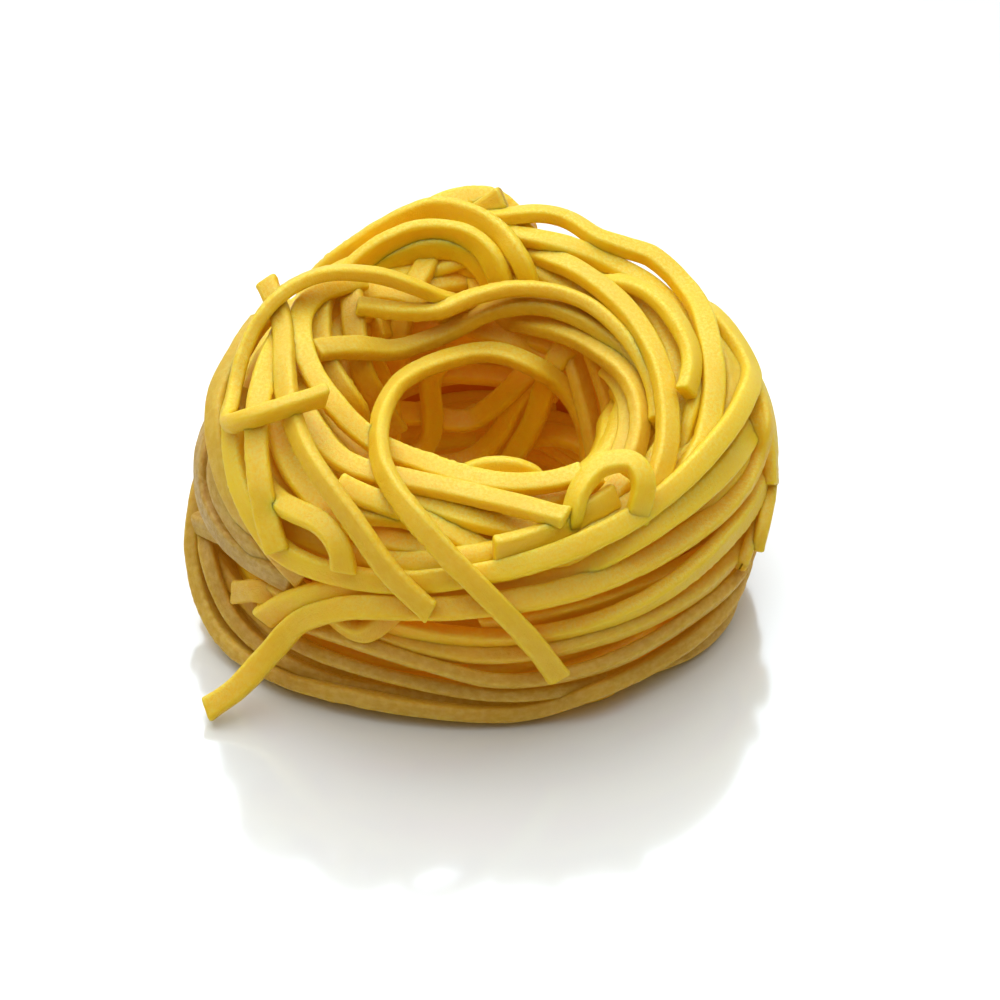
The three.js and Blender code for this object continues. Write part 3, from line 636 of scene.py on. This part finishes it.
def section_outline(corner_points):
    """The rounded rectangle of a noodle's section, one row a vertex, counter-clockwise.

    A row is (corner x, corner y, arc x, arc y, middle): which corner the vertex belongs to, where it
    is on that corner's arc, and 1 for the vertex in the middle of a flat side.
    """
    rows = []
    for quarter, (corner_x, corner_y) in enumerate(((1, 1), (-1, 1), (-1, -1), (1, -1))):
        for arc in np.linspace(quarter, quarter + 1, corner_points) * math.pi / 2:
            rows.append((corner_x, corner_y, math.cos(arc), math.sin(arc), 0))
        if quarter % 2 == 0:
            rows.append((0, corner_y, 0, corner_y, 1))
    return np.array(rows)


def end_inset(from_end):
    """How far the section draws in near a cut end, which the knife leaves rounded."""
    share = np.clip(1 - from_end / END_ROUNDING, 0, 1)
    return END_ROUNDING * (1 - np.sqrt(1 - 0.98 * share ** 2))


def ring_positions(length, step):
    """Distances along a noodle of its rings of vertices."""
    count = max(4, int((length - ENDS_LENGTH) / step))
    between_ends = np.linspace(END_CLEARANCE, length - END_CLEARANCE, count)
    return np.r_[END_RINGS, between_ends, length - END_RINGS[::-1]]


def uneven_section(rng, along, from_end, outline):
    """The vertices of each ring, as x across the noodle and y through it, and the noodle's twist.

    Cut by a roller and dried in a heap: width, thickness and twist drift along the strand.
    """
    width = NOODLE_WIDTH * (rng.uniform(1 - WIDTH_SPREAD, 1 + WIDTH_SPREAD)
                            + WIDTH_DRIFT * wander(rng, along, 8) + 0.02 * wander(rng, along, 2))
    thickness = NOODLE_THICKNESS * (rng.uniform(1 - THICKNESS_SPREAD, 1 + THICKNESS_SPREAD)
                                    + THICKNESS_DRIFT * wander(rng, along, 7))
    twist = TWIST * wander(rng, along, 15)
    flare = np.clip(1 - from_end / FLARE_LENGTH, 0, 1) ** 2
    width *= 1 + END_FLARE * rng.uniform(0.2, 1.2) * flare
    inset = end_inset(from_end)[:, None]
    corner_x, corner_y, arc_x, arc_y, middle = outline.T
    radius = EDGE_RADIUS * rng.uniform(0.8, 1.15)
    x = corner_x * (width[:, None] / 2 - radius) + arc_x * radius
    y = corner_y * (thickness[:, None] / 2 - radius) + arc_y * radius
    x -= inset * np.sign(x)
    y -= inset * np.sign(y) + middle * corner_y * rng.uniform(-0.03, 0.07)
    return x, y, twist


def roughened(rng, x, y, along, middle):
    """The same rings with faint lumps, and here and there an edge that the cutter left ragged."""
    turn = np.arctan2(y[0], x[0])
    lumps = sum(wander(rng, along, 1.3)[:, None] * np.cos(k * turn + rng.uniform(0, 6)) for k in (1, 2, 3))
    ragged = np.zeros_like(x)
    for edge in range(4):
        on_edge = (middle == 0) & (np.arange(len(middle)) * 4 // len(middle) == edge)
        patch = np.clip(wander(rng, along, 9) * 1.6 - RAGGED_FROM, 0, 1)
        ragged += (on_edge * (patch * np.abs(wander(rng, along, 0.45)))[:, None]) * RAGGED_DEPTH
    swell = 1 + (LUMP_DEPTH * lumps + ragged) / np.hypot(x, y)
    return x * swell, y * swell


def ring_faces(count, sides):
    """Quads that join rings of vertices into a tube, and the two caps that close it."""
    index = np.arange(count * sides).reshape(count, sides)
    following = np.roll(index, -1, axis=1)
    quads = np.stack([index[:-1], following[:-1], following[1:], index[1:]], axis=-1).reshape(-1, 4)
    return quads, [index[0][::-1], index[-1]]


def strand_mesh(noodle, rng, step, outline):
    """Vertices, quads, end caps and grain coordinates of one noodle."""
    dense = spline(noodle.points, 6)
    length = np.linalg.norm(np.diff(dense, axis=0), axis=1).sum()
    along = ring_positions(length, step)
    from_end = np.minimum(along, length - along)
    points = points_at(dense, along)
    tangent, side, normal = noodle.frames(points)

    x, y, twist = uneven_section(rng, along, from_end, outline)
    x, y = roughened(rng, x, y, along, outline[:, 4])
    across = side * np.cos(twist)[:, None] + normal * np.sin(twist)[:, None]
    through = normal * np.cos(twist)[:, None] - side * np.sin(twist)[:, None]

    # The cut is not quite square to the strand.
    slant = np.where(along < length / 2, *rng.uniform(-CUT_SLANT, CUT_SLANT, 2))
    slant = slant * np.clip(1 - from_end / SLANT_LENGTH, 0, 1)
    rings = (points[:, None] + x[..., None] * across[:, None] + y[..., None] * through[:, None]
             + (slant[:, None] * x)[..., None] * tangent[:, None])
    rings[..., 2] = np.maximum(rings[..., 2], 0)   # it dried flat where it lies on the table
    lengthwise = np.broadcast_to((along + rng.uniform(0, GRAIN_SHIFT))[:, None], x.shape)
    grain = np.stack([x, y, lengthwise], axis=-1)
    quads, caps = ring_faces(*x.shape)
    return rings.reshape(-1, 3), quads, caps, grain.reshape(-1, 3)


def heap_density(noodles):
    """The corner of a grid of cells over the nest, and the share of each cell that pasta fills."""
    points = np.vstack([noodle.points for noodle in noodles])
    corner = points.min(axis=0) - 4 * CELL
    density = np.zeros(np.ceil((points.max(axis=0) + 4 * CELL - corner) / CELL).astype(int))
    piece = NOODLE_WIDTH * NOODLE_THICKNESS * RELAX_STEP
    np.add.at(density, tuple(((points - corner) / CELL).astype(int).T), piece / CELL ** 3)
    for axis in (0, 1, 2, 0, 1, 2):
        density = 0.5 * density + 0.25 * (np.roll(density, 1, axis) + np.roll(density, -1, axis))
    return corner, np.minimum(density, 1)


def sky_lines():
    """Lines to the sky as (weight, direction): one straight up and slanting ones round it."""
    lines = [(UPRIGHT_WEIGHT, (0.0, 0.0, 1.0))]
    level = math.cos(SKY_LINE_RISE)
    for azimuth in np.linspace(0, 2 * math.pi, SKY_LINES, endpoint=False):
        lines.append((1.0, (level * math.cos(azimuth), level * math.sin(azimuth), math.sin(SKY_LINE_RISE))))
    return lines


def depth_in_heap(points, heap):
    """How deep in the heap each point lies, which sets the painted amber shade and glow: 0 in the open, 1
    where the light has turned amber.
    """
    corner, density = heap
    lines = sky_lines()
    light = np.zeros(len(points))
    for weight, direction in lines:
        pasta = np.zeros(len(points))
        for distance in np.arange(SKY_LINE_START, SKY_LINE_END, CELL):
            cell = ((points - corner + distance * np.array(direction)) / CELL).astype(int)
            cell = np.clip(cell, 0, np.array(density.shape) - 1)
            pasta += density[cell[:, 0], cell[:, 1], cell[:, 2]] * CELL
        light += weight * np.exp(-FADING * pasta)
    light /= sum(weight for weight, _ in lines)
    return np.clip((OPEN_LIGHT - light) / (OPEN_LIGHT - LOST_LIGHT), 0, 1) ** DEPTH_CURVE


def joined_mesh(name, vertices, quads, caps):
    """A smooth mesh from vertices in millimetres, quads and any end caps."""
    loops = np.concatenate([quads.ravel()] + caps)
    totals = np.array([4] * len(quads) + [len(cap) for cap in caps])
    starts = np.r_[0, np.cumsum(totals)[:-1]]
    mesh = bpy.data.meshes.new(name)
    mesh.vertices.add(len(vertices))
    mesh.vertices.foreach_set("co", (vertices * MM).ravel())
    mesh.loops.add(len(loops))
    mesh.loops.foreach_set("vertex_index", loops.astype(np.int32))
    mesh.polygons.add(len(totals))
    mesh.polygons.foreach_set("loop_start", starts.astype(np.int32))
    mesh.polygons.foreach_set("loop_total", totals.astype(np.int32))
    mesh.update(calc_edges=True)
    mesh.validate()
    mesh.polygons.foreach_set("use_smooth", np.ones(len(totals), dtype=bool))
    return mesh


def place_piece(name, mesh, material):
    """Puts a mesh in the scene as a piece that stands for the nest."""
    mesh.materials.append(material)
    piece = bpy.data.objects.new(name, mesh)
    bpy.context.collection.objects.link(piece)
    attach(piece, "root")
    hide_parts("pasta_nest")


def build_noodles(name, noodles, heap, material, rng, step, outline):
    """One piece that holds all these noodles, with what their material needs to know at each vertex."""
    vertices, quads, caps = [], [], []
    grains, tones, dull_and_shade_values, depths = [], [], [], []
    offset = 0
    for noodle in noodles:
        points, faces, ends, grain = strand_mesh(noodle, rng, step, outline)
        vertices.append(points)
        quads.append(faces + offset)
        caps += [end + offset for end in ends]
        grains.append(grain)
        tones.append(np.full(len(points), rng.uniform(0, 1)))
        dull_and_shade_values.append(np.full(len(points), noodle.dull_and_shade))
        depths.append(depth_in_heap(points, heap))
        offset += len(points)
    mesh = joined_mesh(name, np.vstack(vertices), np.vstack(quads), caps)
    grain_data = mesh.attributes.new("grain", "FLOAT_VECTOR", "POINT").data
    grain_data.foreach_set("vector", np.vstack(grains).ravel())
    for key, values in (("tone", tones), ("dull_and_shade", dull_and_shade_values), ("deep", depths)):
        mesh.attributes.new(key, "FLOAT", "POINT").data.foreach_set("value", np.concatenate(values))
    place_piece(name, mesh, material)


def build_core(material):
    """The closed middle of the coil, under all the noodles."""
    azimuth, angle = np.meshgrid(np.linspace(0, 2 * np.pi, CORE_AROUND, endpoint=False),
                                 np.linspace(0, 2 * np.pi, CORE_SECTION, endpoint=False), indexing="ij")
    points = ring_route(azimuth, angle, CORE_DEPTH).reshape(-1, 3)
    index = np.arange(CORE_AROUND * CORE_SECTION).reshape(CORE_AROUND, CORE_SECTION)
    right = np.roll(index, -1, axis=0)
    quads = np.stack([index, right, np.roll(right, -1, axis=1), np.roll(index, -1, axis=1)], axis=-1)
    place_piece("core", joined_mesh("core", points, quads.reshape(-1, 4), []), material)


# -------------------- materials


def new_material(name):
    """A material, its node tree and its shader node."""
    material = bpy.data.materials.new(name)
    material.use_nodes = True
    return material, material.node_tree, material.node_tree.nodes["Principled BSDF"]


def srgb(red, green, blue):
    """A colour written as it looks on a screen, 0 to 255, as the linear colour Blender mixes."""
    linear = [((c / 255 + 0.055) / 1.055) ** 2.4 if c > 10 else c / 255 / 12.92 for c in (red, green, blue)]
    return (*linear, 1.0)


GOLDEN = srgb(244, 200, 10)
GOLDEN_OTHER = srgb(246, 206, 22)     # noodles lie between these two
PALE_SPOT = srgb(245, 210, 28)
DEEP_STREAK = srgb(238, 186, 8)
FROST_AND_SHEEN = srgb(244, 226, 102)           # the dry frost, with a painted sheen where it faces up
PALE_DRIFT = srgb(242, 198, 32)
# Beige and its spots: the duller strands' own colour, also laid on the low turns as painted shade.
BEIGE = srgb(187, 145, 49)
BEIGE_SPOT = srgb(204, 168, 82)
# Painted shade: amber and its spots, laid on the pasta where the heap hides the sky.
AMBER = srgb(248, 168, 2)
AMBER_SPOT = srgb(248, 182, 8)
CORE_ORANGE = srgb(236, 140, 6)
CORE_SPOT = srgb(245, 160, 16)
BLACK = (0.0, 0.0, 0.0, 1.0)
TABLE_WHITE = (0.785, 0.825, 0.84, 1)
GLOSS_WHITE = (0.88, 0.95, 1, 1)


def feed(tree, socket, value):
    """Gives a socket a number or a colour, or links another socket to it."""
    if isinstance(value, (int, float, tuple)):
        socket.default_value = value
    else:
        tree.links.new(value, socket)


def fed_node(tree, node, **inputs):
    """The node with its named inputs fed. A name's spaces are written as underscores."""
    for key, value in inputs.items():
        feed(tree, node.inputs[key.replace("_", " ")], value)
    return node


def noise_node(tree, vector, scale, detail=3.0, roughness=0.55):
    """A cloudy pattern from 0 to 1."""
    node = tree.nodes.new("ShaderNodeTexNoise")
    fed_node(tree, node, Vector=vector, Scale=scale, Detail=detail, Roughness=roughness)
    return node.outputs["Fac"]


def stretch_node(tree, vector, scale):
    """Coordinates scaled differently along each axis."""
    node = tree.nodes.new("ShaderNodeMapping")
    return fed_node(tree, node, Vector=vector, Scale=scale).outputs["Vector"]


def mix_node(tree, factor, first, second):
    """A mix of two colours; each may be a colour or a socket."""
    node = tree.nodes.new("ShaderNodeMix")
    node.data_type = "RGBA"
    tree.links.new(factor, node.inputs["Factor"])
    feed(tree, node.inputs[6], first)
    feed(tree, node.inputs[7], second)
    return node.outputs[2]


def math_node(tree, operation, *values):
    """A calculation with numbers or sockets."""
    node = tree.nodes.new("ShaderNodeMath")
    node.operation = operation
    for socket, value in zip(node.inputs, values):
        feed(tree, socket, value)
    return node.outputs[0]


def range_node(tree, value, low, high, new_low, new_high, interpolation="LINEAR"):
    """A value from low to high, brought to the new range."""
    node = tree.nodes.new("ShaderNodeMapRange")
    node.interpolation_type = interpolation
    fed_node(tree, node, Value=value, From_Min=low, From_Max=high, To_Min=new_low, To_Max=new_high)
    return node.outputs["Result"]


def veil_node(tree, pattern, low, high, most, under, over):
    """A colour over another where the pattern rises from low to high, covering up to most of it."""
    return mix_node(tree, range_node(tree, pattern, low, high, 0, most), under, over)


def attribute_node(tree, name):
    """A value that the mesh holds for each vertex."""
    node = tree.nodes.new("ShaderNodeAttribute")
    node.attribute_name = name
    return node


def upward_node(tree):
    """How far the surface faces up: 1 on the top of a strand, 0 on its sides, -1 underneath."""
    split = tree.nodes.new("ShaderNodeSeparateXYZ")
    tree.links.new(tree.nodes.new("ShaderNodeNewGeometry").outputs["Normal"], split.inputs[0])
    return split.outputs["Z"]


def pasta_colour(tree, grain, mottle, streaks, frost, deep):
    """Golden and finely mottled, with frost and a painted sheen on top, painted amber shade deep in the
    heap, and beige on duller strands and as painted shade low down.
    """
    tone = attribute_node(tree, "tone").outputs["Fac"]
    dull_and_shade = attribute_node(tree, "dull_and_shade").outputs["Fac"]
    drift = noise_node(tree, stretch_node(tree, grain, (0.2, 0.2, 0.2)), 0.6, 1.0)
    golden = mix_node(tree, tone, GOLDEN, GOLDEN_OTHER)
    golden = veil_node(tree, mottle, 0.45, 0.65, 0.5, golden, PALE_SPOT)
    golden = veil_node(tree, streaks, 0.5, 0.68, 0.25, golden, DEEP_STREAK)
    # Painted sheen: the frost pattern turns pale only where the surface faces up to the light, and fades on
    # the sides.
    frost_and_sheen = math_node(tree, "MULTIPLY", range_node(tree, frost, 0.42, 0.62, 0.1, 0.95),
                      range_node(tree, upward_node(tree), 0.4, 0.95, 0.03, 1))
    golden = mix_node(tree, frost_and_sheen, golden, FROST_AND_SHEEN)
    golden = veil_node(tree, drift, 0.45, 0.65, 0.3, golden, PALE_DRIFT)
    # Beige: the duller strands' own colour, and painted shade on the low turns near the table.
    beige = veil_node(tree, mottle, 0.4, 0.65, 1, BEIGE, BEIGE_SPOT)
    # Painted shade: amber where the heap hides the sky from the strand.
    amber = veil_node(tree, mottle, 0.4, 0.65, 1, AMBER, AMBER_SPOT)
    return mix_node(tree, dull_and_shade, mix_node(tree, deep, golden, amber), beige)


def pasta_relief(tree, grain, streaks, frost):
    """Faint lines along the strand, pores and frost, as a bumpy normal."""
    pores = noise_node(tree, grain, 7.0, 2.0)
    relief = math_node(tree, "MULTIPLY_ADD", streaks, 0.5, pores)
    relief = math_node(tree, "ADD", relief, frost)
    bump = tree.nodes.new("ShaderNodeBump")
    return fed_node(tree, bump, Strength=0.45, Distance=0.18 * MM, Height=relief).outputs["Normal"]


def pasta_material():
    """Dried egg dough: satin, a little translucent, with its pattern laid along each strand."""
    material, tree, shader = new_material("dried_pasta")
    grain = attribute_node(tree, "grain").outputs["Vector"]
    deep = attribute_node(tree, "deep").outputs["Fac"]
    mottle = noise_node(tree, stretch_node(tree, grain, (1, 1, 0.7)), 1.6)
    streaks = noise_node(tree, stretch_node(tree, grain, (2.6, 2.6, 0.16)), 1.5)
    frost = noise_node(tree, grain, 2.4, 4.0, 0.7)
    fed_node(tree, shader, Base_Color=pasta_colour(tree, grain, mottle, streaks, frost, deep),
             Normal=pasta_relief(tree, grain, streaks, frost),
             Roughness=range_node(tree, frost, 0.4, 0.64, 0.34, 0.62), Specular_IOR_Level=0.44,
             Subsurface_Weight=0.9, Subsurface_Radius=(1.0, 0.86, 0.15), Subsurface_Scale=1.4 * MM)
    # Light that has come through many strands, more bounces than the renderer follows. It is too
    # faint to light anything else, so it isn't sampled as a lamp.
    fed_node(tree, shader, Emission_Color=mix_node(tree, deep, BLACK, DEEP_GLOW), Emission_Strength=1.0)
    material.cycles.emission_sampling = "NONE"
    return material


def core_material():
    """What little light reaches the middle of the coil comes back orange."""
    material, tree, shader = new_material("coil_middle")
    coordinates = tree.nodes.new("ShaderNodeTexCoord").outputs["Object"]
    blotches = noise_node(tree, coordinates, 500.0)
    fed_node(tree, shader, Base_Color=mix_node(tree, blotches, CORE_ORANGE, CORE_SPOT), Roughness=0.7)
    return material


def table_material():
    """White lacquer: matt white under a gloss that blurs what it mirrors."""
    material, tree, shader = new_material("white_table")
    coordinates = tree.nodes.new("ShaderNodeTexCoord").outputs["Object"]
    cloud = noise_node(tree, coordinates, 30.0)
    gloss = tree.nodes.new("ShaderNodeBsdfGlossy")
    fed_node(tree, gloss, Color=GLOSS_WHITE, Roughness=range_node(tree, cloud, 0, 1, 0.1, 0.14))
    matt = fed_node(tree, tree.nodes.new("ShaderNodeBsdfDiffuse"), Color=TABLE_WHITE)
    blend = fed_node(tree, tree.nodes.new("ShaderNodeMixShader"), Fac=TABLE_GLOSS)
    tree.links.new(matt.outputs["BSDF"], blend.inputs[1])
    tree.links.new(gloss.outputs["BSDF"], blend.inputs[2])
    fed_node(tree, tree.nodes["Material Output"], Surface=blend.outputs["Shader"])
    tree.nodes.remove(shader)
    return material


# -------------------- set and camera


def build_table():
    """The white table that the nest lies on."""
    bpy.ops.mesh.primitive_plane_add(size=TABLE_SIZE, location=(0, 0, 0))
    table = bpy.context.object
    table.name = "table"
    table.data.materials.append(table_material())


def sky_lobe(tree, toward, edge, full, low, high):
    """Light that rises smoothly from low to high as the direction turns to face toward.

    Edge and full are the cosines at which it starts and stops rising.
    """
    facing = tree.nodes.new("ShaderNodeVectorMath")
    facing.operation = "DOT_PRODUCT"
    tree.links.new(tree.nodes.new("ShaderNodeTexCoord").outputs["Generated"], facing.inputs[0])
    facing.inputs[1].default_value = Vector(toward).normalized()
    return range_node(tree, facing.outputs["Value"], edge, full, low, high, "SMOOTHSTEP")


def build_lights():
    """A bright sky over and behind the nest, with a soft box in it, and little light from the front."""
    world = bpy.data.worlds.new("studio")
    world.use_nodes = True
    tree = world.node_tree
    sky = sky_lobe(tree, SKY_DIRECTION, SKY_EDGE, 1, SKY_DARK, SKY_BRIGHT)
    box = sky_lobe(tree, BOX_DIRECTION, BOX_EDGE, BOX_EDGE + BOX_FADE, 0, BOX_BRIGHT)
    fed_node(tree, tree.nodes["Background"], Color=(1, 1, 1, 1), Strength=math_node(tree, "ADD", sky, box))
    bpy.context.scene.world = world


def build_camera():
    """A long lens that looks down on the nest from the front."""
    data = bpy.data.cameras.new("camera")
    data.lens = LENS
    data.clip_end = 10
    camera = bpy.data.objects.new("camera", data)
    back = Vector(VIEW_BACK)
    camera.location = Vector(VIEW_TARGET) * MM + back * VIEW_DISTANCE * MM
    camera.rotation_euler = (-back).to_track_quat("-Z", "Y").to_euler()
    bpy.context.collection.objects.link(camera)
    bpy.context.scene.camera = camera


# -------------------- the nest


def build_nest():
    """All the noodles, settled against each other, over the core."""
    rng = np.random.default_rng(SEED)
    groups = {
        "outer_turns": traced_noodles(OUTER_TURNS),
        "rim_turns": traced_noodles(RIM_TURNS),
        "left_side": traced_noodles(LEFT_SIDE),
        "low_side": traced_noodles(LOW_SIDE),
        "right_side": traced_noodles(RIGHT_SIDE),
        "hollow_lining": traced_noodles(HOLLOW_LINING),
        "back_turns": back_turns(rng, BACK_TURNS),
        "inner_turns": [turn for layer in HIDDEN_TURNS for turn in wound_turns(rng, *layer)],
        "underside": underside_turns(rng) + floor_strands(rng),
    }
    noodles = [noodle for group in groups.values() for noodle in group]
    worst, many = settle(noodles, RELAX_ROUNDS)
    print("settled: worst overlap %.2f mm, %d point pairs over %.2f mm" % (worst, many, COUNTED_OVERLAP))
    heap = heap_density(noodles)
    material = pasta_material()
    for name, group in groups.items():
        fine = group[0].shows
        step = FINE_STEP if fine else COARSE_STEP
        outline = section_outline(FINE_CORNER if fine else COARSE_CORNER)
        build_noodles(name, group, heap, material, rng, step, outline)
    build_core(core_material())


build_nest()
build_table()
build_lights()
build_camera()
bpy.context.scene.view_settings.view_transform = "Standard"
